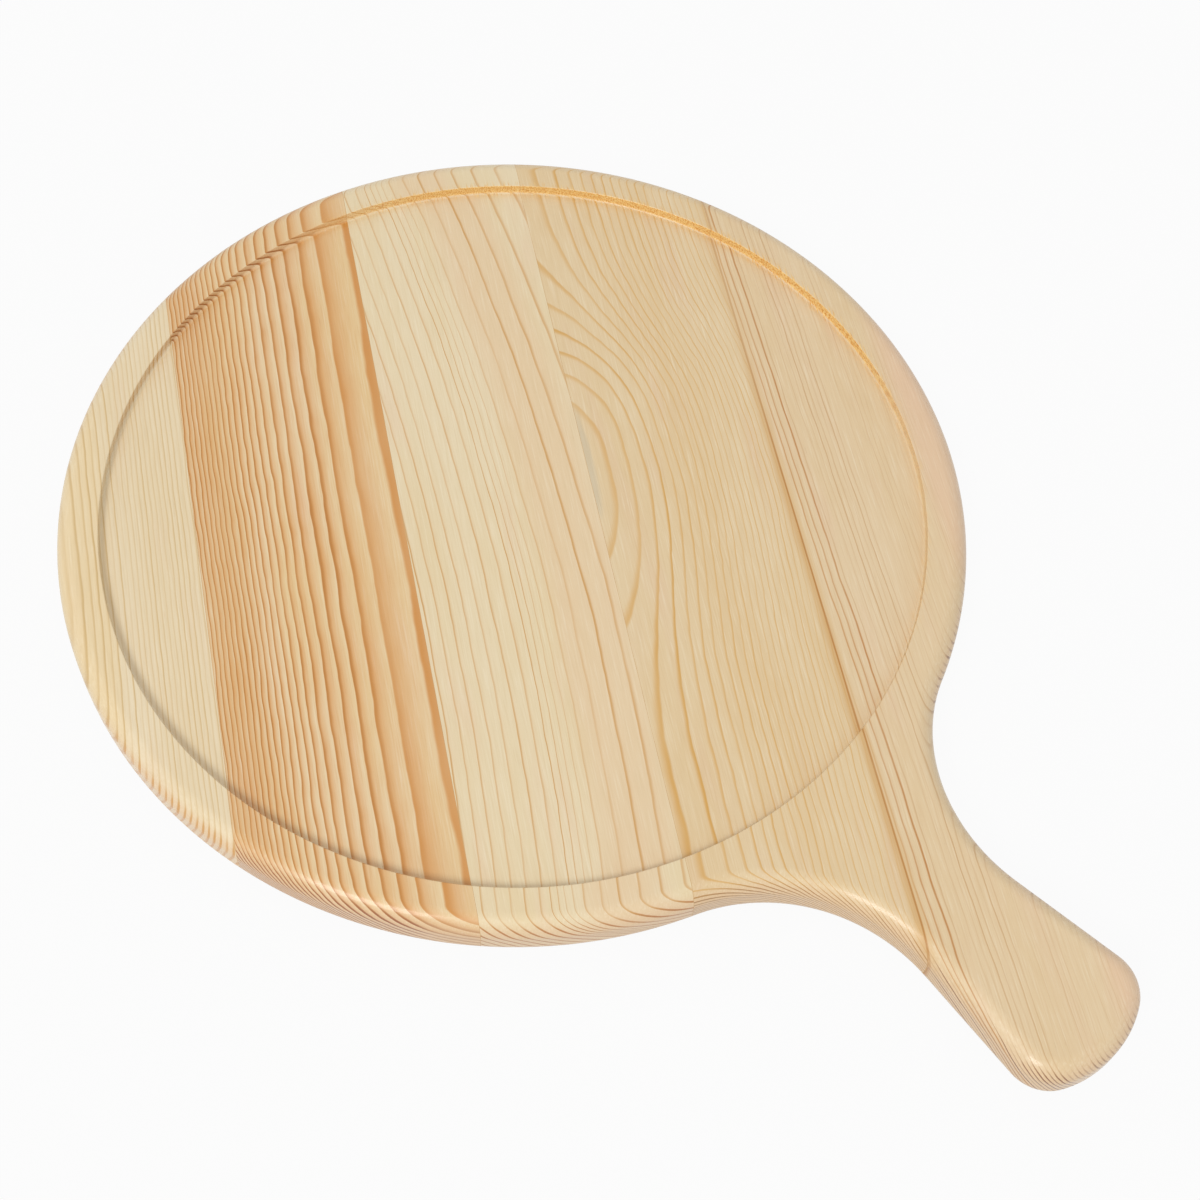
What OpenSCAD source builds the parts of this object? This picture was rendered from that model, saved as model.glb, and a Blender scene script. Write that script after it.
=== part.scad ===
// Round pizza serving board with a short paddle handle, cut from one panel of
// five pine staves that are glued edge to edge. The face has a shallow round
// recess. The origin is the centre of the disc on the underside. The handle
// points along -Y and the face looks along +Z. Lengths are millimetres.

/* [Board] */
// Diameter of the round part
disc_d = 300; // [260:1:360]
// Thickness of the glued panel
board_t = 18; // [14:0.5:24]
// Radius of the rounding along the outer edge, above and below
edge_r = 6.5; // [2:0.5:6.5]

/* [Recess] */
// Width of the flat rim between the recess and the outside
rim_w = 14; // [10:0.5:24]
// Depth of the recess below the rim
recess_depth = 3.5; // [2:0.25:6]
// Radius of the cove where the recess wall meets its floor
cove_r = 1; // [0.25:0.25:1.75]
// Width of the small bevel at the top of the recess wall
arris_w = 0.4; // [0.1:0.1:0.8]

/* [Handle] */
// Length of the handle beyond the disc
handle_l = 104; // [90:1:140]
// Widest width of the handle, near its tip
tip_w = 48; // [42:1:54]
// Angle by which each side of the handle spreads towards the tip
side_flare = 6.2; // [0:0.1:7]
// Radius of the concave sweep from the disc into the handle
neck_r = 58.5; // [45:0.5:70]
// Radius of the two corners of the tip
corner_r = 14; // [12:0.5:16]
// Radius of the gently bowed end of the tip
bow_r = 36; // [29:1:60]

/* [Panel] */
// Angle between the handle's axis and the staves
grain_angle = 32.5; // [0:0.5:60]
// Distance from the disc's centre to the first joint, on the left
first_joint = 105; // [95:0.5:115]
// Width of the second stave
stave_2_w = 67; // [55:0.5:75]
// Width of the third stave, which holds the centre
stave_3_w = 64; // [55:0.5:75]
// Width of the fourth stave
stave_4_w = 64; // [50:0.5:68]
// Thickness of the glue film in each joint
glue_t = 0.12; // [0.06:0.02:0.3]

/* [Colours] */
// Colour of the first stave, from the left
stave_1_colour = "#E9D9AE";
// Colour of the second stave
stave_2_colour = "#D9A868";
// Colour of the third stave
stave_3_colour = "#EAD8A6";
// Colour of the fourth stave
stave_4_colour = "#E2C998";
// Colour of the fifth stave
stave_5_colour = "#DFC699";
// Colour of the dried glue
glue_colour = "#B98A4E";

/* [Hidden] */
$fn = 192;

disc_r = disc_d / 2;
recess_r = disc_r - rim_w;
floor_z = board_t - recess_depth;
// How far a cutting shape runs past what it cuts
overrun = board_t;
// Where two parts of the outline meet, one runs on inside the other, set back
// by this much, too little to see or feel
set_back = 0.02;
run_on = 0.5;
// A rounded band along the outline is this wide, and the flat core starts
// inside it, so that the two overlap
band_w = 2 * edge_r;
core_inset = 1.5 * edge_r;

// Handle outline, right half. The side line leans out by side_flare and
// touches the neck sweep above it and the tip corner below it.
reach = disc_r + handle_l;
side_out = [cos(side_flare), sin(side_flare)];
side_up = [-sin(side_flare), cos(side_flare)];
bow_c = [0, bow_r - reach];
corner_x = tip_w / 2 - corner_r;
corner_c = [corner_x, bow_c[1] - sqrt(pow(bow_r - corner_r, 2) - pow(corner_x, 2))];
// Distance of the side line from the disc's centre, signed
side_d = corner_c * side_out + corner_r;
neck_d = side_d + neck_r;
neck_c = side_out * neck_d - side_up * sqrt(pow(disc_r + neck_r, 2) - pow(neck_d, 2));
side_top = neck_c - side_out * neck_r;
side_end = corner_c + side_out * corner_r;
side_l = norm(side_end - side_top);
// Directions in which the disc and the neck sweep touch, and half the angle of
// the bowed end between its two corners
disc_to_neck = atan2(neck_c[1], neck_c[0]);
bow_half = atan2(corner_x, bow_c[1] - corner_c[1]);

// Places across the staves, measured from the disc's centre
joint_at = [-first_joint,
            stave_2_w - first_joint,
            stave_2_w + stave_3_w - first_joint,
            stave_2_w + stave_3_w + stave_4_w - first_joint];
far = reach + overrun;

// Steps in which a quarter round is drawn in a section
round_steps = 6;

function quarter(c, r, a) =
    [for (i = [0 : round_steps])
        c + r * [cos(a + 90 * i / round_steps), sin(a + 90 * i / round_steps)]];

// Section through the outer edge: solid to the left of x = 0, width w
module edge_section(w) {
    polygon(concat([[-w, 0]],
                   quarter([-edge_r, edge_r], edge_r, -90),
                   quarter([-edge_r, board_t - edge_r], edge_r, 0),
                   [[-w, board_t]]));
}

// Sector of a round plate of radius r, from direction a to direction b
module round_plate(r, a = 0, b = 360) {
    rotate_extrude(angle = b - a, start = a) translate([r, 0]) edge_section(r);
}

// Rounded band outside an arc of radius r, from direction a to direction b
module hollow_band(r, a, b) {
    rotate_extrude(angle = b - a, start = a)
        translate([r, 0]) mirror([1, 0]) edge_section(band_w);
}

// Straight rounded edge, running l along -Y from the origin
module edge_bar(l) {
    rotate([90, 0, 0]) linear_extrude(l) edge_section(band_w);
}

// One side of the handle: neck sweep, straight side and tip corner
module handle_side() {
    past = run_on / neck_r * 180 / PI;
    translate(neck_c)
        hollow_band(neck_r + set_back, 180 + disc_to_neck - past, 180 + side_flare + past);
    translate(side_top) rotate(side_flare) edge_bar(side_l);
    translate(corner_c) round_plate(corner_r - set_back);
}

// Flat middle of the handle, from well inside the disc to the tip corners
module handle_core() {
    side_in = core_inset * side_out;
    half = [neck_c,
            side_top - side_in - edge_r * side_up,
            side_end - side_in + edge_r * side_up,
            corner_c - [0, edge_r / 2]];
    linear_extrude(board_t) difference() {
        polygon(concat([[0, disc_r / 2]], half,
                       [for (i = [len(half) - 1 : -1 : 0]) [-half[i][0], half[i][1]]]));
        for (s = [-1, 1])
            translate([s * neck_c[0], neck_c[1]]) circle(neck_r + core_inset);
    }
}

module blank() {
    round_plate(disc_r, disc_to_neck, 180 - disc_to_neck);
    handle_core();
    handle_side();
    mirror([1, 0, 0]) handle_side();
    translate(bow_c) round_plate(bow_r, -90 - bow_half, -90 + bow_half);
}

// What the router takes out of the face: a flat floor, a cove, an upright wall
// and a small bevel at its top
module recess() {
    rotate_extrude()
        polygon(concat([[0, floor_z]],
                       quarter([recess_r - cove_r, floor_z + cove_r], cove_r, -90),
                       [[recess_r, board_t - arris_w],
                        [recess_r + arris_w + overrun, board_t + overrun],
                        [0, board_t + overrun]]));
}

module board() {
    difference() {
        blank();
        recess();
    }
}

// The part of the board between two places across the staves
module strip(from, to) {
    intersection() {
        board();
        rotate(-grain_angle) translate([from, -far, -overrun])
            cube([to - from, 2 * far, board_t + 2 * overrun]);
    }
}

module stave(left_joint, right_joint) {
    strip(left_joint + glue_t / 2, right_joint - glue_t / 2);
}

module glue_line(joint) {
    strip(joint - glue_t / 2, joint + glue_t / 2);
}

// Pale, straight-grained stave on the left
module stave_1() { color(stave_1_colour) stave(-far, joint_at[0]); }

// Stave with broad dark bands of late wood
module stave_2() { color(stave_2_colour) stave(joint_at[0], joint_at[1]); }

// Cream stave that holds the centre of the disc
module stave_3() { color(stave_3_colour) stave(joint_at[1], joint_at[2]); }

// Stave with arched figure, which runs into the neck
module stave_4() { color(stave_4_colour) stave(joint_at[2], joint_at[3]); }

// Fine-grained stave that carries most of the handle
module stave_5() { color(stave_5_colour) stave(joint_at[3], far); }

// Glue films, from the left
module glue_line_1() { color(glue_colour) glue_line(joint_at[0]); }
module glue_line_2() { color(glue_colour) glue_line(joint_at[1]); }
module glue_line_3() { color(glue_colour) glue_line(joint_at[2]); }
module glue_line_4() { color(glue_colour) glue_line(joint_at[3]); }

stave_1();
stave_2();
stave_3();
stave_4();
stave_5();
glue_line_1();
glue_line_2();
glue_line_3();
glue_line_4();
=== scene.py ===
# %% [markdown]
# # A glued pine pizza board
# The real board is a round plate with a short paddle handle, cut from one panel
# of five pine staves. A router has sunk a shallow round recess in its face, the
# edges are rounded over and the whole is sanded and given a thin satin finish.
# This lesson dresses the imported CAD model. The frame comes first, because it
# holds the places and sizes that everything else follows.

from math import atan2, cos, degrees, pi, radians, sin, sqrt
from types import SimpleNamespace

import bmesh
import bpy
from mathutils import Matrix, Vector


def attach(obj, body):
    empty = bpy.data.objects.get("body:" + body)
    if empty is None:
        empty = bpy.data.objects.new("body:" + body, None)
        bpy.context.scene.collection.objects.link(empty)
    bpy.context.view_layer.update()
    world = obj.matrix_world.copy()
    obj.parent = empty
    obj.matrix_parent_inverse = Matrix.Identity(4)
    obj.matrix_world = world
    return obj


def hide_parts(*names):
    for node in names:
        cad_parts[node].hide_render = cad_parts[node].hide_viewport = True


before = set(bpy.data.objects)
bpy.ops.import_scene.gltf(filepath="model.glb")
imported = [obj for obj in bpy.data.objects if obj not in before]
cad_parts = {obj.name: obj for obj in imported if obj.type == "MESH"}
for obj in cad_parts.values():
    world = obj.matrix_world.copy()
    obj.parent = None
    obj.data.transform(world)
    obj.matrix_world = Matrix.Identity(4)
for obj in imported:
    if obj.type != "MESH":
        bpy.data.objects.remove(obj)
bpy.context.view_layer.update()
MM = 0.001


# %% [markdown]
# ## The camera
# The photograph was taken from above the handle's left side, looking steeply
# down, with the camera a little rolled. Its place was worked out from the round
# recess, the parallel joints and the outline. A camera can be aimed with a
# constraint, but that can't roll it, and three plain directions say exactly how
# it stands.

# %% Camera
HEADING = radians(40.98)
PITCH = radians(59.90)
ROLL = radians(5.49)
CAMERA_PLACE = Vector((-0.2461, -0.2539, 0.5655))
FOCAL_PIXELS = 1971.4
PHOTO_PIXELS = 1200
SENSOR = 36.0

ahead = Vector((cos(HEADING), sin(HEADING), 0))
picture_right = Vector((sin(HEADING), -cos(HEADING), 0))
forward = ahead * cos(PITCH) - Vector((0, 0, sin(PITCH)))
level_up = picture_right.cross(forward)
camera_x = picture_right * cos(ROLL) + level_up * sin(ROLL)
camera_y = level_up * cos(ROLL) - picture_right * sin(ROLL)

camera = bpy.data.objects.new("camera", bpy.data.cameras.new("camera"))
camera.data.sensor_width = SENSOR
camera.data.lens = SENSOR * FOCAL_PIXELS / PHOTO_PIXELS
# The matrix's columns are the camera's right, its up and its back
turned = Matrix((camera_x, camera_y, -forward)).transposed().to_4x4()
camera.matrix_world = Matrix.Translation(CAMERA_PLACE) @ turned
bpy.context.scene.collection.objects.link(camera)
bpy.context.scene.camera = camera
bpy.context.scene.view_settings.view_transform = "Standard"
print("lens of", round(camera.data.lens, 2), "mm")

# %% [markdown]
# ## The outline
# The disc runs through two hollow sweeps into the handle, whose sides spread
# towards a bowed tip with two round corners. The shape is a chain of arcs that
# touch each other. Drawing every arc about a fixed centre has one great merit:
# the outline can be drawn in from its edge by any amount, and each point moves
# square to the edge. That is just what a rounded edge needs.

# %% Sizes of the board, in millimetres
DISC_R = 150
BOARD_T = 18
EDGE_R = 6.5
RIM_W = 14
RECESS_DEPTH = 3.5
COVE_R = 1
ARRIS_R = 0.4
HANDLE_L = 104
TIP_W = 48
NECK_R = 58.5
CORNER_R = 14
BOW_R = 36
SIDE_FLARE = radians(6.2)
GRAIN_ANGLE = radians(32.5)
JOINTS = (-105, -38, 26, 90)
GLUE_T = 0.12

# %% Centres and directions of the outline's arcs
# Directions square out of the handle's right side and up along it, then the
# centres of the bow, the tip's right corner and the right neck sweep
reach = DISC_R + HANDLE_L
side_out = Vector((cos(SIDE_FLARE), sin(SIDE_FLARE)))
side_up = Vector((-sin(SIDE_FLARE), cos(SIDE_FLARE)))
bow_c = Vector((0, BOW_R - reach))
corner_x = TIP_W / 2 - CORNER_R
corner_c = Vector((corner_x, bow_c.y - sqrt((BOW_R - CORNER_R) ** 2 - corner_x ** 2)))
neck_d = corner_c.dot(side_out) + CORNER_R + NECK_R
neck_c = side_out * neck_d - side_up * sqrt((DISC_R + NECK_R) ** 2 - neck_d ** 2)
disc_to_neck = atan2(neck_c.y, neck_c.x)
corner_to_bow = atan2(corner_c.y - bow_c.y, corner_c.x - bow_c.x)
print("the disc meets the neck at", round(degrees(disc_to_neck), 2), "degrees")

# %% Points round the outline
DISC_STEPS = 180
NECK_STEPS = 40
CORNER_STEPS = 20
BOW_STEPS = 10


def arc(centre, radius, start, end, steps):
    """Points along an arc, both ends included."""
    turns = [start + (end - start) * i / steps for i in range(steps + 1)]
    return [Vector((centre[0] + radius * cos(t), centre[1] + radius * sin(t)))
            for t in turns]


def half_outline(inset):
    """Right half of the outline from the disc's far end to the tip."""
    return (
        arc((0, 0), DISC_R - inset, pi / 2, disc_to_neck, DISC_STEPS)
        + arc(neck_c, NECK_R + inset, pi + disc_to_neck, pi + SIDE_FLARE,
              NECK_STEPS)[1:]
        + arc(corner_c, CORNER_R - inset, SIDE_FLARE, corner_to_bow, CORNER_STEPS)
        + arc(bow_c, BOW_R - inset, corner_to_bow, -pi / 2, BOW_STEPS)[1:])


def outline(inset):
    """The closed outline: down the right side and up the left."""
    half = half_outline(inset)
    return half + [Vector((-p.x, p.y)) for p in half[-2:0:-1]]


print("points round the outline:", len(outline(0)))

# %% [markdown]
# ## The body
# A router and sandpaper leave no sharp edge, so the light rolls over the rim
# instead of stopping at a line. A bevel modifier could round the edges, but it
# knows nothing of the staves. Here rings of points climb the rounded edge, cross
# the rim and go down into the recess as one closed skin, which is then sliced
# into staves. The flat faces are filled between their outlines.

# %% Rings up the edge and down into the recess
ROUND_STEPS = 12
COVE_STEPS = 6
ARRIS_STEPS = 4
RECESS_STEPS = 360
recess_r = DISC_R - RIM_W
floor_z = BOARD_T - RECESS_DEPTH


def quarter(steps):
    """Shares of a quarter round: how far sideways and how far up."""
    return [(1 - cos(i * pi / 2 / steps), sin(i * pi / 2 / steps))
            for i in range(steps + 1)]


def edge_levels():
    """Inset and height of each ring up the rounded edge."""
    low = [(EDGE_R * (1 - up), EDGE_R * side) for side, up in quarter(ROUND_STEPS)]
    return low + [(inset, BOARD_T - z) for inset, z in reversed(low)]


def recess_levels():
    """Radius and height of each ring from the rim down to the floor."""
    arris = [(recess_r + ARRIS_R * (1 - up), BOARD_T - ARRIS_R * side)
             for side, up in quarter(ARRIS_STEPS)]
    cove = [(recess_r - COVE_R * side, floor_z + COVE_R * (1 - up))
            for side, up in quarter(COVE_STEPS)]
    return arris + cove


print(len(edge_levels()), "rings up the edge,", len(recess_levels()), "in the recess")

# %% One closed skin for the whole board


def add_ring(mesh, points, z):
    """Adds one level of points, given in millimetres."""
    return [mesh.verts.new(Vector((p.x, p.y, z)) * MM) for p in points]


def join_rings(mesh, rings):
    """Quads between each ring and the next."""
    for low, high in zip(rings, rings[1:]):
        for i in range(len(low)):
            j = (i + 1) % len(low)
            mesh.faces.new((low[i], low[j], high[j], high[i]))


def ring_edges(mesh, *rings):
    """The edges that go round each ring."""
    return [mesh.edges.get((ring[i - 1], ring[i])) for ring in rings
            for i in range(len(ring))]


def board_skin():
    """The uncut board as a bmesh: outside, rim, recess and underside."""
    mesh = bmesh.new()
    edge = [add_ring(mesh, outline(inset), z) for inset, z in edge_levels()]
    # A full circle's last point is its first again, so it is left out
    recess = [add_ring(mesh, arc((0, 0), radius, 0, -2 * pi, RECESS_STEPS)[:-1], z)
              for radius, z in recess_levels()]
    join_rings(mesh, edge)
    join_rings(mesh, recess)
    for rings in ((edge[0],), (edge[-1], recess[0]), (recess[-1],)):
        bmesh.ops.triangle_fill(mesh, use_beauty=True,
                                edges=ring_edges(mesh, *rings))
    bmesh.ops.recalc_face_normals(mesh, faces=mesh.faces)
    return mesh


skin = board_skin()
print("board:", len(skin.faces), "faces, open edges:",
      sum(not e.is_manifold for e in skin.edges))

# %% [markdown]
# ## The staves and the glue
# The staves cross the board at an angle to the handle, and each joint holds a
# film of dried glue about as thick as a sheet of paper. A boolean could cut them,
# but a straight cut through a closed skin is what bisecting does best: it slices,
# throws one side away and leaves a loop that one face closes.

# %% Slice the skin between two joints
ACROSS = Vector((cos(GRAIN_ANGLE), -sin(GRAIN_ANGLE), 0))
ALONG = Vector((sin(GRAIN_ANGLE), cos(GRAIN_ANGLE), 0))
SAME_POINT = 1e-7
SHARP_ANGLE = radians(30)
FLAT_FACE_WEIGHT = 100


def slice_off(mesh, place, outward):
    """Cuts the mesh square across the staves and drops what lies outward."""
    cut = bmesh.ops.bisect_plane(
        mesh, geom=mesh.verts[:] + mesh.edges[:] + mesh.faces[:],
        plane_co=ACROSS * place * MM, plane_no=ACROSS * outward,
        clear_outer=True, dist=SAME_POINT)
    loop = [e for e in cut["geom_cut"] if isinstance(e, bmesh.types.BMEdge)]
    bmesh.ops.contextual_create(mesh, geom=loop)


def strip(name, start, end):
    """An object that holds the board between two places across the staves."""
    mesh = skin.copy()
    if start is not None:
        slice_off(mesh, start, -1)
    if end is not None:
        slice_off(mesh, end, 1)
    bmesh.ops.triangulate(mesh, faces=[f for f in mesh.faces if len(f.verts) > 4])
    bmesh.ops.recalc_face_normals(mesh, faces=mesh.faces)
    data = bpy.data.meshes.new(name)
    mesh.to_mesh(data)
    open_edges = sum(not e.is_manifold for e in mesh.edges)
    mesh.free()
    data.shade_smooth()
    data.set_sharp_from_angle(angle=SHARP_ANGLE)
    piece = bpy.data.objects.new(name, data)
    bpy.context.scene.collection.objects.link(piece)
    weigh = piece.modifiers.new("flat_faces_stay_flat", "WEIGHTED_NORMAL")
    weigh.weight = FLAT_FACE_WEIGHT
    weigh.keep_sharp = True
    print(name, "has", len(data.polygons), "faces, open edges:", open_edges)
    return piece


print("staves run", round(degrees(GRAIN_ANGLE), 1), "degrees from the handle's axis")

# %% Five staves and four films of glue
half_glue = GLUE_T / 2
starts = [None] + [j + half_glue for j in JOINTS]
ends = [j - half_glue for j in JOINTS] + [None]
staves = [strip(f"pine_stave_{i}", start, end)
          for i, (start, end) in enumerate(zip(starts, ends), 1)]
films = [strip(f"glue_film_{i}", j - half_glue, j + half_glue)
         for i, j in enumerate(JOINTS, 1)]
skin.free()

# %% [markdown]
# ## Shader sums as Python sums
# Pine's figure is arithmetic: how far a point lies from the tree's heart, and
# how many rings fit in that distance. In the node editor that takes dozens of
# Math nodes. A small class that wraps a socket lets Python's own signs make
# those nodes, so that the shader reads like the sum that it is.

# %% A socket that does sums


class Wire:
    """A socket in a material's node tree that can be used in sums."""

    def __init__(self, tree, socket=None):
        self.tree, self.socket = tree, socket

    def node(self, kind, sockets=(), out=0, **settings):
        """Adds a node: its settings first, then its sockets' values or links."""
        made = self.tree.nodes.new(kind)
        for name, value in settings.items():
            setattr(made, name, value)
        for name, value in dict(sockets).items():
            if isinstance(value, Wire):
                self.tree.links.new(value.socket, made.inputs[name])
            else:
                made.inputs[name].default_value = value
        return Wire(self.tree, made.outputs[out])

    def math(self, operation, *values):
        """One Math node."""
        return self.node("ShaderNodeMath", enumerate(values), operation=operation)

    def __add__(self, other): return self.math("ADD", self, other)
    def __radd__(self, other): return self.math("ADD", other, self)
    def __sub__(self, other): return self.math("SUBTRACT", self, other)
    def __rsub__(self, other): return self.math("SUBTRACT", other, self)
    def __mul__(self, other): return self.math("MULTIPLY", self, other)
    def __rmul__(self, other): return self.math("MULTIPLY", other, self)
    def __truediv__(self, other): return self.math("DIVIDE", self, other)
    def __rtruediv__(self, other): return self.math("DIVIDE", other, self)
    def __pow__(self, other): return self.math("POWER", self, other)
    def __rpow__(self, other): return self.math("POWER", other, self)
    def __neg__(self): return self.math("MULTIPLY", self, -1)

    def step(self, low, high):
        """0 below low, 1 above high and a soft ramp between."""
        return self.node("ShaderNodeMapRange",
                         {"Value": self, "From Min": low, "From Max": high},
                         interpolation_type="SMOOTHSTEP")

    def blend(self, low, high):
        """Colour low where this wire is 0 and high where it is 1.

        A Mix node's colours are its sockets 6 and 7, and its result is output 2.
        """
        return self.node("ShaderNodeMix", {0: self, 6: low, 7: high}, out=2,
                         data_type="RGBA")

    def capped(self):
        """This wire, but never more than 1."""
        return self.math("MINIMUM", self, 1)


def root(wire):
    """The square root of a wire."""
    return wire.math("SQRT", wire)


def larger(wire, other):
    """The larger of a wire and another value."""
    return wire.math("MAXIMUM", wire, other)


print("a wire adds, subtracts, multiplies, divides and raises to powers")

# %% Materials that start empty


def empty_material(name):
    """A new material with only its output node, and a wire to build it with."""
    material = bpy.data.materials.new(name)
    material.use_nodes = True
    nodes = material.node_tree.nodes
    nodes.remove(nodes["Principled BSDF"])
    return material, Wire(material.node_tree)


def show(shader):
    """Links the finished shader to its material's output."""
    output = shader.tree.nodes["Material Output"]
    shader.tree.links.new(shader.socket, output.inputs["Surface"])


print("each material is built on a wire and then shown")

# %% Colours as they look on screen


def screen(red, green, blue):
    """A colour given as the 0 to 255 values of a screen, made linear."""
    def linear(value):
        share = value / 255
        return share / 12.92 if share < 0.04045 else ((share + 0.055) / 1.055) ** 2.4
    return (linear(red), linear(green), linear(blue), 1)


print("pine cream is", [round(c, 3) for c in screen(229, 211, 177)])

# %% [markdown]
# ## Pine, cut from a tree
# Every line on the board is the edge of a year's ring. Within a year the wood
# starts pale and soft, darkens to hard orange late wood and then stops short. An
# image of grain would stop at the edges of a face. A solid texture doesn't: it
# places each stave inside a tree, works out the distance to the heart of that
# tree, counts rings in it, and so the lines on the face, down the wall of the
# recess and round the edge all agree, as they do on the real board.

# %% Where a point lies in its stave
UP = Vector((0, 0, 1))


def plank_place(wire):
    """Millimetres across the staves, along them, and above the rim."""
    spot = wire.node("ShaderNodeTexCoord", out=3)
    across, along, height = (
        wire.node("ShaderNodeVectorMath", {0: spot, 1: tuple(direction / MM)},
                  out=1, operation="DOT_PRODUCT")
        for direction in (ACROSS, ALONG, UP))
    return across, along, height - BOARD_T


def noise(wire, place, sizes, seed, detail=2.0, roughness=0.5):
    """Soft noise from -0.5 to 0.5, with a size in millimetres each way."""
    spot = wire.node("ShaderNodeCombineXYZ",
                     enumerate(axis / size for axis, size in zip(place, sizes)))
    cloud = wire.node("ShaderNodeTexNoise",
                      {"Vector": spot, "W": seed, "Scale": 1.0, "Detail": detail,
                       "Roughness": roughness}, noise_dimensions="4D")
    return cloud - 0.5


print("places are in millimetres across, along and above the rim")

# %% [markdown]
# No tree is a true cylinder. Its rings sway over a hand's breadth, wobble and
# ripple over a few centimetres and are rough over a few millimetres, and each of
# these gets a noise of its own size. The number added to a tree's seed keeps one
# noise from copying another.

# %% Year rings
SWAY_SIZE = (90, 70, 90)
WOBBLE_SIZE = (16, 42, 16)
RIPPLE_SIZE = (8, 20, 8)
ROUGH_SIZE = (3, 6, 3)
ROUGH_SHIFT = 0.3


def ring_distance(wire, place, tree, heart_across, heart_above):
    """Millimetres from the heart to a point, as the tree's own rings measure it."""
    across, _, above = place
    seed = tree["seed"]
    sway = noise(wire, place, SWAY_SIZE, seed) * tree["sway"]
    ripple = noise(wire, place, RIPPLE_SIZE, seed + 3) * tree["ripple"]
    rough = noise(wire, place, ROUGH_SIZE, seed + 5) * ROUGH_SHIFT
    wobble = noise(wire, place, WOBBLE_SIZE, seed + 9) * tree["wobble"]
    sideways = across + sway + ripple + rough - heart_across
    upwards = above - heart_above
    return root(sideways * sideways + upwards * upwards) + wobble


def year_rings(wire, place, tree):
    """The share of the year at a point, the year's luck and the ring's address.

    Rings are as wide as tree["ring"], with more of them in the crowded years.
    A ring's address is the place across the stave where it meets the recess
    floor, so a dark year can be named by where the photograph shows it.
    """
    heart_across, heart_above, home = tree["heart"](place[1])
    distance = ring_distance(wire, place, tree, heart_across, heart_above)
    count = (distance - tree["first_ring"]) / tree["ring"]
    if "crowd" in tree:
        begin, end, extra = tree["crowd"]
        count = count + distance.step(begin, end) * extra
    year = count.math("FLOOR", count)
    luck = wire.node("ShaderNodeTexWhiteNoise", {"W": year + tree["seed"]},
                     noise_dimensions="1D")
    above_floor = heart_above + RECESS_DEPTH
    flat = larger(distance * distance - above_floor * above_floor, 0)
    return count - year, luck, root(flat) * tree["side"] + home


print("a ring's share of the year runs from 0, pale, to 1, dark")

# %% [markdown]
# Three kinds of surface need more than rings. Where the edge turns across the
# stave, the cut ends of the fibres take up more finish, so every year shows dark
# there. The wall of the recess is rough from the router. Where the router ran
# against the grain, on the far side, it tore the fibres, and the finish soaked in.
# That far wall faces the lamp. The golden painted on it is partly this soaked
# wood and partly painted light, the lit wall's brightness put into its colour.
# Separate objects for the three would cut through the rings, so masks worked out
# from place and slope mark them instead.

# %% Places and slopes as masks
recess_edge = recess_r + ARRIS_R


def between(at, start, end, soft):
    """1 between two places and 0 outside them, soft at both ends."""
    return at.step(start - soft, start + soft) * (1 - at.step(end - soft, end + soft))


def slope(wire, direction):
    """How squarely the surface faces a direction, from -1 to 1."""
    normal = wire.node("ShaderNodeNewGeometry", out=1)
    return wire.node("ShaderNodeVectorMath", {0: normal, 1: tuple(direction)},
                     out=1, operation="DOT_PRODUCT")


print("the recess ends", recess_edge, "mm from the centre")

# %% End grain, wall and torn fibres, with painted light on the far wall
# The far side, whose wall faces the lamp; its light is painted into the golden there
FAR_SIDE = Vector((0.5, 0.866))
HAIR_SIZE = (0.5, 6, 0.5)
HAIR_REACH = 1.5
HAIR_STRENGTH = 0.8
END_GRAIN_LOST_INSIDE = 0.4


def torn_and_lit_fibres(wire, place, radius, wall, seed):
    """Where the router tore the wall, hairs spilling over its edges, plus painted
    light on the lamp-facing far wall.
    """
    across, along, _ = place
    # The share of the way from the centre to the far wall
    far_side = (across * FAR_SIDE.x + along * FAR_SIDE.y) / recess_r
    # The far side faces the lamp, so this mask paints that wall's light as well as
    # the tear
    against_grain_and_lit = far_side.step(0.5, 0.88) + across.step(60, 110) * 0.3
    hairs = noise(wire, place, HAIR_SIZE, seed).step(0.0, 0.12)
    spill = hairs * between(radius, recess_r - HAIR_REACH, recess_r + HAIR_REACH,
                            HAIR_REACH)
    return (against_grain_and_lit * larger(wall, spill * HAIR_STRENGTH)).capped()


def surface_masks(wire, place, seed):
    """Masks of the end grain, the recess wall and the torn fibres with painted light.
    """
    across, along, _ = place
    end_on, upright = slope(wire, ALONG), slope(wire, UP)
    # 0 on a level face and 1 on an upright wall
    steep = 1 - upright * upright
    radius = root(across * across + along * along)
    inside = 1 - radius.step(recess_edge, recess_edge + 0.8)
    # Fibre ends show where a steep face looks along the stave
    end_grain = (end_on * end_on).step(0.02, 0.22) * steep.step(0.15, 0.85)
    end_grain = end_grain * (1 - inside * END_GRAIN_LOST_INSIDE)
    wall = steep.step(0.25, 0.8) * inside
    return end_grain, wall, torn_and_lit_fibres(wire, place, radius, wall, seed)


print("the torn side lies", round(degrees(atan2(FAR_SIDE.y, FAR_SIDE.x))),
      "degrees round from square across the staves")

# %% [markdown]
# Everything so far says where a point lies. The colours below share it, so it is
# worked out once for each stave and handed round under one name.

# %% What the colours need to know at a point
PATCH_SIZE = (12, 45, 12)
FIBRE_SIZE = (0.4, 14, 0.4)


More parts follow.
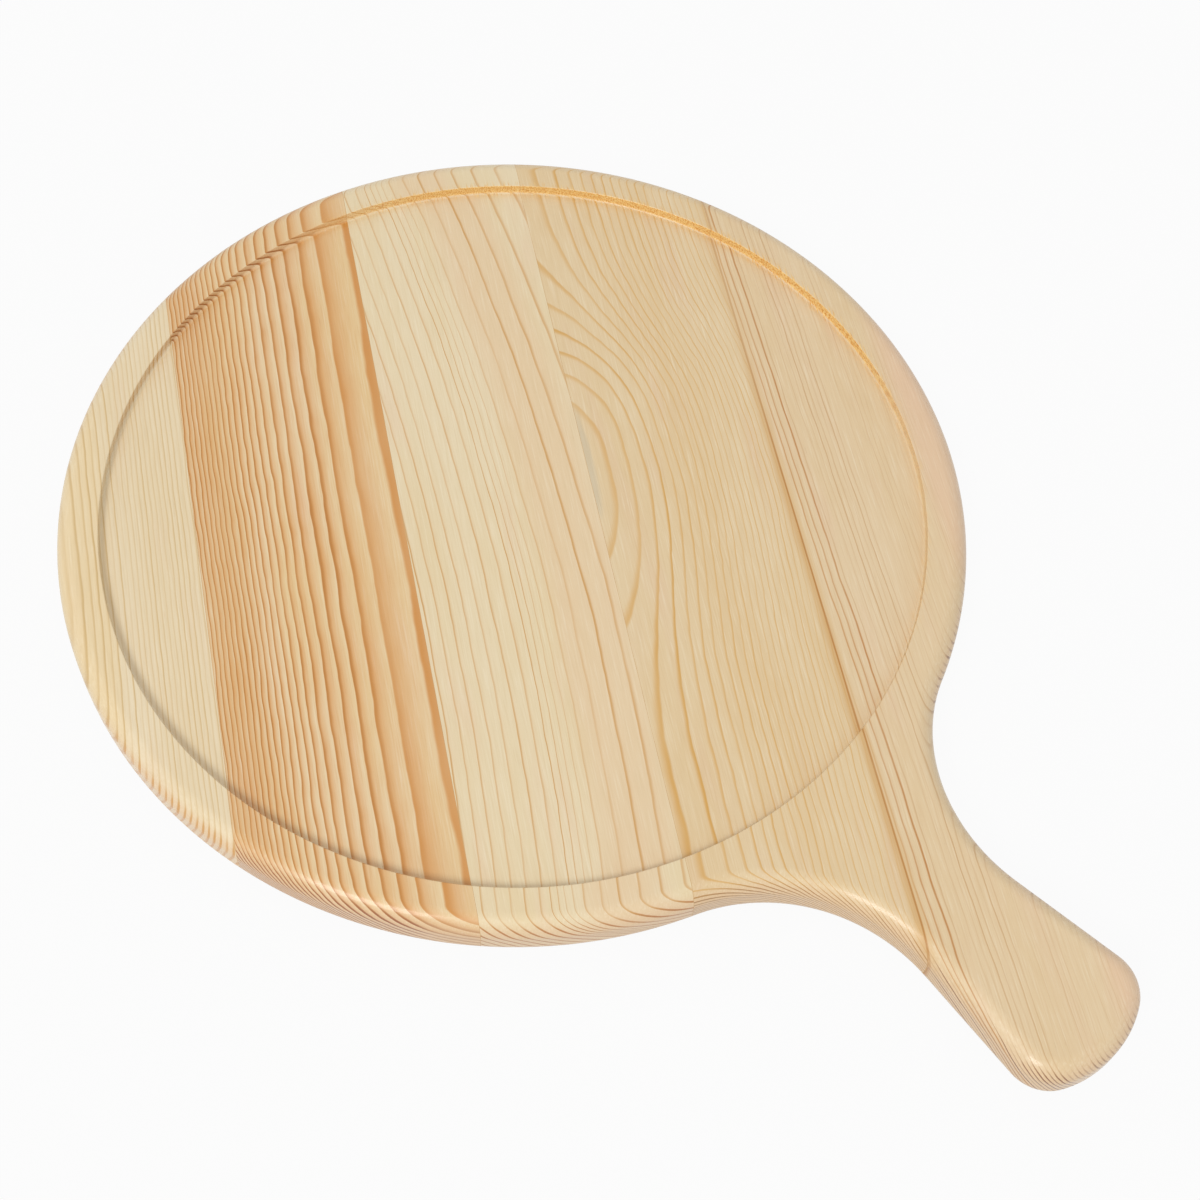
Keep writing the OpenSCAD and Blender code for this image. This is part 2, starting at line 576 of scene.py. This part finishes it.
def wood_at(wire, tree):
    """Place, year, kind of surface and fibre at a point of a stave."""
    place = plank_place(wire)
    share, luck, address = year_rings(wire, place, tree)
    end_grain, wall, torn_and_lit = surface_masks(wire, place, tree["seed"] + 37)
    return SimpleNamespace(
        place=place, across=place[0], along=place[1],
        share=share, luck=luck, address=address,
        end_grain=end_grain, wall=wall, torn_and_lit=torn_and_lit,
        patch=noise(wire, place, PATCH_SIZE, tree["seed"] + 11),
        fibre=noise(wire, place, FIBRE_SIZE, tree["seed"] + 23, detail=3,
                    roughness=0.6))


print("single fibres are about", FIBRE_SIZE[0], "mm thick")

# %% [markdown]
# The pale early wood comes first. Its tone drifts slowly along the stave, a faint
# pink blush comes and goes, and some years are tinted as a whole. Fine light
# streaks are the single fibres that catch the light. One noise could do all
# this, but each of these has its own size in the real wood.

# %% Early wood
STREAK_LIGHT = screen(245, 233, 206)
END_PALE = screen(228, 193, 153)
DRIFT_SIZE = (18, 120, 18)
BLUSH_SIZE = (10, 60, 10)
BLUSH_STRENGTH = 0.45
END_STRENGTH = 0.6
STREAK_STRENGTH = 0.34


def early_wood(wire, wood, tree):
    """Colour of the pale wood between the lines."""
    drift = noise(wire, wood.place, DRIFT_SIZE, tree["seed"] + 19, detail=3)
    blush = noise(wire, wood.place, BLUSH_SIZE, tree["seed"] + 41).step(0.02, 0.25)
    streaks = wood.fibre.step(0.0, 0.22)
    colour = drift.step(-0.2, 0.2).blend(tree["early"], tree["early_deep"])
    colour = (blush * BLUSH_STRENGTH).blend(colour, tree["blush"])
    for start, end, soft, tint, amount in tree.get("tints", ()):
        tinted = between(wood.address, start, end, soft) * amount
        colour = tinted.blend(colour, tint)
    colour = (wood.end_grain * END_STRENGTH).blend(colour, END_PALE)
    return (streaks * STREAK_STRENGTH).blend(colour, STREAK_LIGHT)


print("streaks of light fibre are", [round(c, 3) for c in STREAK_LIGHT])

# %% [markdown]
# Late wood darkens slowly through the year, ends in a hard line and stops short
# where the next spring begins. How strong a line is changes from year to year and
# along its length. A colour ramp over the year could draw it, but two separate
# parts, a soft one and a hard one, can fade and take up finish on their own.

# %% Late wood


def late_wood(wood, tree):
    """How much of the soft darkening and of the hard line shows, each 0 to 1."""
    luck, end_grain = wood.luck, wood.end_grain
    # A year stops short, and its strength is patchy along its length
    cut = 1 - wood.share.step(1 - tree["cut"], 1.0)
    strength = tree["even"] + (1 - tree["even"]) * luck ** tree.get("rare", 1)
    strength = strength * (1 + wood.patch * 1.1)
    # Lucky years darken late, and end grain hides part of the slow darkening
    soft_part = wood.share ** (tree["sharp"] * (0.75 + 0.5 * luck)) * tree["body"]
    soft_part = soft_part * strength * cut * (1 - end_grain * 0.4)
    # End grain shows the hard line wider, and it shows it in every year
    hard_part = wood.share + end_grain * 0.12
    hard_part = hard_part.step(1 - tree["line"], 1 - tree["cut"])
    hard_part = hard_part * (strength + end_grain * (0.4 + 0.6 * luck)) * cut
    if "fade" in tree:
        start, end, loss = tree["fade"]
        hard_part = hard_part * (1 - wood.across.step(start, end) * loss)
    return soft_part.capped(), hard_part.capped()


def add_lines(colour, wood, tree, soft_part, hard_part):
    """Lays the year's lines over the early wood, darker on end grain."""
    soft_line = (wood.end_grain * 0.45).blend(tree["late"], tree["end_dark"])
    hard_line = (wood.end_grain * 0.85).blend(tree["dark"], tree["end_dark"])
    return hard_part.blend(soft_part.blend(colour, soft_line), hard_line)


print("a year's line is a soft part and a hard part")

# %% [markdown]
# Some marks belong to one place only: a dark year, a stain beside a joint, a
# faint grey spot. They could be painted on as an image. A place, a width and a
# tint for each say the same in a few numbers and stay sharp at any distance.

# %% Single dark years, stains and spots


def add_marks(colour, wood, tree):
    """Lays the tree's own bands, stains and spots over the colour."""
    for start, end, soft, tint, amount in tree.get("bands", ()):
        band = between(wood.address, start, end, soft) * amount * (1 + wood.patch)
        colour = band.capped().blend(colour, tint)
    for start, end, soft, tint, amount in tree.get("stains", ()):
        stain = between(wood.across, start, end, soft) * amount
        stain = stain * (1 - wood.along.step(-20, 90) * 0.5) * (1 + wood.patch * 0.5)
        colour = (stain * (1 - wood.end_grain * 0.6)).blend(colour, tint)
    for centre, half_size, tint, amount in tree.get("spots", ()):
        off_across = (wood.across - centre[0]) / half_size[0]
        off_along = (wood.along - centre[1]) / half_size[1]
        off = off_across * off_across + off_along * off_along
        spot = 1 - (off + wood.patch * 2 + wood.fibre * 2).step(0.2, 1.2)
        colour = (spot * amount).blend(colour, tint)
    return colour


print("marks are named by where they lie across and along the stave")

# %% Dark fibres, resin ducts and the torn wall with its painted light
# Golden of the torn far wall: partly soaked wood, partly painted light of the lit
# wall
SOAKED_AND_LIT = screen(248, 208, 124)
SOAKED_AND_LIT_DARK = screen(210, 144, 64)
DUCT_SIZE = (0.6, 9, 0.6)
DUCT_STRENGTH = 0.20
DARK_FIBRE_STRENGTH = 0.30


def add_fibres(wire, colour, wood, tree):
    """Lays dark fibres and short resin ducts along the grain."""
    dark_fibres = (-wood.fibre).step(0.0, 0.22)
    ducts = noise(wire, wood.place, DUCT_SIZE, tree["seed"] + 29).step(0.2, 0.3)
    colour = (dark_fibres * DARK_FIBRE_STRENGTH).blend(colour, tree["streak"])
    return (ducts * DUCT_STRENGTH).blend(colour, tree["end_dark"])


def add_torn_and_lit_wall(colour, wood, fleck):
    """Turns the torn fibres golden, paler and darker in short hairs, partly as
    painted light.
    """
    # The golden is partly painted light, where the far wall faces the lamp
    soaked_and_lit = fleck.step(-0.15, 0.2).blend(SOAKED_AND_LIT, SOAKED_AND_LIT_DARK)
    return (wood.torn_and_lit * (0.85 + fleck * 1.2)).capped().blend(colour, soaked_and_lit)


print("soaked fibres are", [round(c, 3) for c in SOAKED_AND_LIT])

# %% [markdown]
# The finish is a thin satin coat over bare pine: the wood scatters light from a
# fairly rough surface, and the coat adds a soft sheen. The hard lines stand up by
# a few hundredths of a millimetre after sanding, and the torn wall is rougher.
# Real displacement would be too fine to see, so a bump is enough.

# %% The pine material
FLECK_SIZE = (0.4, 4.0, 0.7)
RELIEF_DEPTH = 0.1
RELIEF_STRENGTH = 0.5
WOOD_ROUGHNESS = 0.42
COAT_WEIGHT = 0.3
COAT_ROUGHNESS = 0.15


def pine(name, tree):
    """A finished pine material for one stave."""
    material, wire = empty_material(name)
    wood = wood_at(wire, tree)
    soft_part, hard_part = late_wood(wood, tree)
    fleck = noise(wire, wood.place, FLECK_SIZE, tree["seed"] + 31, detail=3)
    colour = early_wood(wire, wood, tree)
    colour = add_lines(colour, wood, tree, soft_part, hard_part)
    colour = add_marks(colour, wood, tree)
    colour = add_fibres(wire, colour, wood, tree)
    colour = add_torn_and_lit_wall(colour, wood, fleck)
    # Hard lines shine a little more, fibres and the router's wall a little less
    rough = (WOOD_ROUGHNESS - hard_part * 0.06 + wood.fibre * 0.12
             + wood.wall * 0.1)
    relief = hard_part * 0.6 + wood.fibre * 0.6 + wood.torn_and_lit * fleck * 1.4
    bump = wire.node("ShaderNodeBump", {
        "Strength": RELIEF_STRENGTH, "Distance": RELIEF_DEPTH * MM,
        "Height": relief})
    show(wire.node("ShaderNodeBsdfPrincipled", {
        "Base Color": colour, "Roughness": rough, "Normal": bump,
        "Coat Weight": COAT_WEIGHT, "Coat Roughness": COAT_ROUGHNESS}))
    print(name, "has", len(material.node_tree.nodes), "nodes")
    return material


# %% [markdown]
# ## Five staves from five trees
# No two staves of a glued panel match, and that is its charm. For each one the
# photograph shows where the heart of the tree must have been: to the side for
# straight lines, near the face for arches. The ring widths, the strength of the
# late wood and the tints follow. Noise alone could vary the staves, but it would
# not put the wide bands, the arches and the stain where the photograph has them.

# %% Two kinds of heart


def straight_heart(across_at, above_at, lean=0.0, bend=0.0):
    """A heart that runs along the stave, leaning or bending a little sideways."""
    def heart(along):
        return along * (along * bend + lean) + across_at, above_at, across_at
    return heart


def arched_heart(across_at, below, middle, near, low, high, span):
    """A heart that rises a few millimetres at one place, which draws arches.

    Rings narrower than near don't reach the face. Wider ones close in an arch on
    each side, and those wider than low on one side and high on the other run on.
    """
    def heart(along):
        off = along - middle
        spread = -(off * off) / span ** 2
        wide = off.step(-30, 30) * (high - low) + low
        half = wide - (wide - near) * spread.math("EXPONENT", spread)
        # The heart lies so deep that a ring this half width just reaches the face
        return across_at, -(half * half * (0.5 / below) + below), across_at
    return heart


print("a heart gives its place across, its height above the rim and its home")

# %% [markdown]
# A tree is a handful of numbers. Lengths are millimetres. The heart, the width of
# a ring and the crowd of extra rings between two distances set where the lines
# run, and sway, ripple and wobble set how far they stray. Even says how alike the
# years are, and rare makes strong ones scarce. Sharp and body shape the soft
# darkening, line and cut say where in the year the hard line starts and stops,
# and fade weakens it across the stave. Tints and bands are a start, an end, a
# softness, a colour and a strength. Stains are the same beside a joint, and spots
# have a centre and a half size.

# %% Five trees
TREES = {
    "pine_cream": dict(
        seed=11, heart=straight_heart(-260, 30), side=1, first_ring=110.0, ring=4.2,
        crowd=(118, 176, 16), sway=2, ripple=1.0, wobble=0.5, even=0.25,
        sharp=2.5, body=0.6, line=0.42, cut=0.15,
        early=screen(233, 215, 181), early_deep=screen(229, 209, 171),
        blush=screen(229, 204, 172), late=screen(224, 184, 116),
        dark=screen(208, 176, 120), end_dark=screen(210, 152, 82),
        streak=screen(208, 184, 140),
        tints=((-152, -134, 3, screen(233, 207, 158), 0.6),)),
    "pine_banded": dict(
        seed=23, heart=straight_heart(-33, 55), side=-1, first_ring=59.07,
        ring=2.2, crowd=(69, 124, 15), sway=2.0, ripple=1.9, wobble=0.4, even=0.85,
        fade=(-66, -46, 0.75), sharp=1.45, body=1.2, line=0.36, cut=0.08,
        early=screen(232, 208, 168), early_deep=screen(229, 200, 148),
        blush=screen(230, 194, 158), late=screen(213, 149, 76),
        dark=screen(187, 123, 48), end_dark=screen(150, 88, 56),
        streak=screen(206, 152, 90),
        tints=((-60, -36, 5, screen(224, 186, 130), 0.35),
               (-108, -90, 6, screen(212, 164, 100), 0.4))),
    "pine_straight": dict(
        seed=37, heart=straight_heart(75, 150, -0.05, -0.00045), side=-1,
        first_ring=162.75, ring=2.4, crowd=(169.5, 175.9, 2.3), sway=1.5, ripple=1.1,
        wobble=0.3, even=0.35, sharp=5.0, body=0.5, line=0.2, cut=0.06,
        early=screen(231, 213, 177), early_deep=screen(228, 207, 165),
        blush=screen(230, 201, 168), late=screen(226, 182, 126),
        dark=screen(204, 154, 86), end_dark=screen(180, 118, 70),
        streak=screen(212, 186, 140),
        tints=((3, 27, 5, screen(228, 200, 160), 0.75),)),
    "pine_arched": dict(
        seed=41, heart=arched_heart(20, 90, 11, 5, 24.5, 37.5, 50), side=1,
        first_ring=87.74, ring=1.3, crowd=(90, 115, 2.2), sway=1.2, ripple=2.0,
        wobble=0.35, even=0.5, fade=(45, 80, 0.3), sharp=5.0, body=0.45, line=0.30,
        cut=0.08,
        early=screen(226, 202, 161), early_deep=screen(223, 195, 149),
        blush=screen(223, 190, 154), late=screen(222, 178, 112),
        dark=screen(211, 161, 80), end_dark=screen(166, 122, 84),
        streak=screen(206, 174, 124),
        stains=((88.4, 92, 1.6, screen(208, 162, 96), 0.75),),
        spots=(((26.0, 12), (2.6, 22), screen(200, 186, 158), 0.6),)),
    "pine_fine": dict(
        seed=53, heart=straight_heart(57, -50, -0.0225, 0.0), side=1,
        first_ring=40.0, ring=1.3, sway=1.5, ripple=1.0, wobble=0.7, even=0.06,
        rare=3, fade=(100, 130, 0.45), sharp=2.5, body=0.3, line=0.36, cut=0.12,
        early=screen(227, 202, 163), early_deep=screen(224, 197, 154),
        blush=screen(225, 192, 158), late=screen(214, 176, 126),
        dark=screen(200, 160, 110), end_dark=screen(128, 80, 56),
        streak=screen(204, 170, 122),
        tints=((138, 152, 4, screen(229, 192, 160), 0.6),),
        bands=((93.1, 93.5, 0.2, screen(196, 138, 72), 0.8),
               (95.2, 95.6, 0.2, screen(194, 138, 78), 0.8),
               (97.8, 98.3, 0.25, screen(188, 128, 62), 0.95)),
        stains=((88, 91.8, 0.8, screen(218, 182, 128), 0.6),
                (88, 90.6, 0.2, screen(186, 128, 56), 0.95))),
}
print("trees:", list(TREES))

# %% Each stave gets its tree
for number, (piece, (slot, tree)) in enumerate(zip(staves, TREES.items()), 1):
    piece.data.materials.append(pine(slot, tree))
    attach(piece, "root")
    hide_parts(f"stave_{number}")

# %% [markdown]
# ## Dried glue
# Between two staves the glue shows only as a hairline, a little darker and
# duller than the wood. It could be a dark line in the pine, but it is a piece of
# its own, so it gets a material of its own, with the slight unevenness of a joint
# that was squeezed and scraped.

# %% Glue
GLUE_DARK = screen(188, 140, 84)
GLUE_LIGHT = screen(214, 178, 124)
BLOB_SIZE = (2, 12, 2)
GLUE_SEED = 5


def dried_glue(name):
    """Dull brown glue, uneven along the joint."""
    material, wire = empty_material(name)
    blobs = noise(wire, plank_place(wire), BLOB_SIZE, GLUE_SEED, detail=4)
    uneven = blobs.step(-0.3, 0.3)
    show(wire.node("ShaderNodeBsdfPrincipled", {
        "Base Color": uneven.blend(GLUE_DARK, GLUE_LIGHT),
        "Roughness": uneven * 0.2 + 0.5}))
    return material


glue = dried_glue("wood_glue")
for number, film in enumerate(films, 1):
    film.data.materials.append(glue)
    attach(film, "root")
    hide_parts(f"glue_line_{number}")
print("glue films:", len(films))

# %% [markdown]
# ## Floor and light
# The board was photographed on white, with broad soft light from the picture's
# lower left. A floor that is white in every way throws so much light back that
# the board's lower edges glow. So the sheet is grey to the light that bounces
# between it and the board, while the camera and the reflections see it almost
# plain white. The background stays clean and the soft shadow still shows.

# %% What sees the plain white


def in_sight(wire):
    """1 for rays from the camera and for reflected or refracted ones."""
    camera_ray, glossy, through = (
        wire.node("ShaderNodeLightPath", out=kind)
        for kind in ("Is Camera Ray", "Is Glossy Ray", "Is Transmission Ray"))
    return larger(larger(camera_ray, glossy), through)


print("the camera and the reflections see white, bounced light sees grey")

# %% Floor sheet
FLOOR_SIZE = 6.0
FLOOR_Z = -0.05
floor_mesh = bmesh.new()
bmesh.ops.create_grid(floor_mesh, x_segments=8, y_segments=8, size=FLOOR_SIZE)
floor = bpy.data.objects.new("floor", bpy.data.meshes.new("floor"))
floor_mesh.to_mesh(floor.data)
floor_mesh.free()
floor.location.z = FLOOR_Z * MM
bpy.context.scene.collection.objects.link(floor)
print("floor of", 2 * FLOOR_SIZE, "m,", -FLOOR_Z, "mm below the board")

# %% Floor paint
PLAIN_WHITE = (1, 1, 1, 1)
FLOOR_GREY = (0.5, 0.5, 0.5, 1)
FLOOR_ROUGHNESS = 0.8
WHITE_SHARE = 0.94
floor_white, wire = empty_material("floor_white")
paint = wire.node("ShaderNodeBsdfPrincipled", {
    "Base Color": FLOOR_GREY, "Roughness": FLOOR_ROUGHNESS})
glow = wire.node("ShaderNodeEmission", {"Color": PLAIN_WHITE, "Strength": 1.0})
show(wire.node("ShaderNodeMixShader", {
    0: in_sight(wire) * WHITE_SHARE, 1: paint, 2: glow}))
floor.data.materials.append(floor_white)
print("the floor is seen", WHITE_SHARE, "plain white and the rest painted grey")

# %% [markdown]
# A white world gives the even fill from every side, as a tent of white cloth
# does, and one large lamp gives the direction. A second lamp could lift the dark
# side, but the photograph has only one soft shadow.

# %% World
WORLD_STRENGTH = 0.67
SEEN_STRENGTH = 0.97
world = bpy.data.worlds.new("white_room")
bpy.context.scene.world = world
world.use_nodes = True
background = world.node_tree.nodes["Background"]
background.inputs["Color"].default_value = PLAIN_WHITE
sky = Wire(world.node_tree)
strength = in_sight(sky) * (SEEN_STRENGTH - WORLD_STRENGTH) + WORLD_STRENGTH
world.node_tree.links.new(strength.socket, background.inputs["Strength"])
print("the world lights with", WORLD_STRENGTH, "and is seen at", SEEN_STRENGTH)

# %% Lamp, placed in metres as the picture sees it
LAMP_LEFT = 0.93
LAMP_NEAR = 1.99
LAMP_HIGH = 2.2
LAMP_SIZE = 1.1
LAMP_WATTS = 40.5
light = bpy.data.lights.new("key", "AREA")
light.shape = "SQUARE"
light.size = LAMP_SIZE
light.energy = LAMP_WATTS
lamp = bpy.data.objects.new("key", light)
lamp_place = UP * LAMP_HIGH - picture_right * LAMP_LEFT - ahead * LAMP_NEAR
lamp.location = lamp_place
lamp.rotation_euler = (-lamp_place).to_track_quat("-Z", "Y").to_euler()
bpy.context.scene.collection.objects.link(lamp)
print("lamp", round(lamp_place.length, 2), "m from the board")
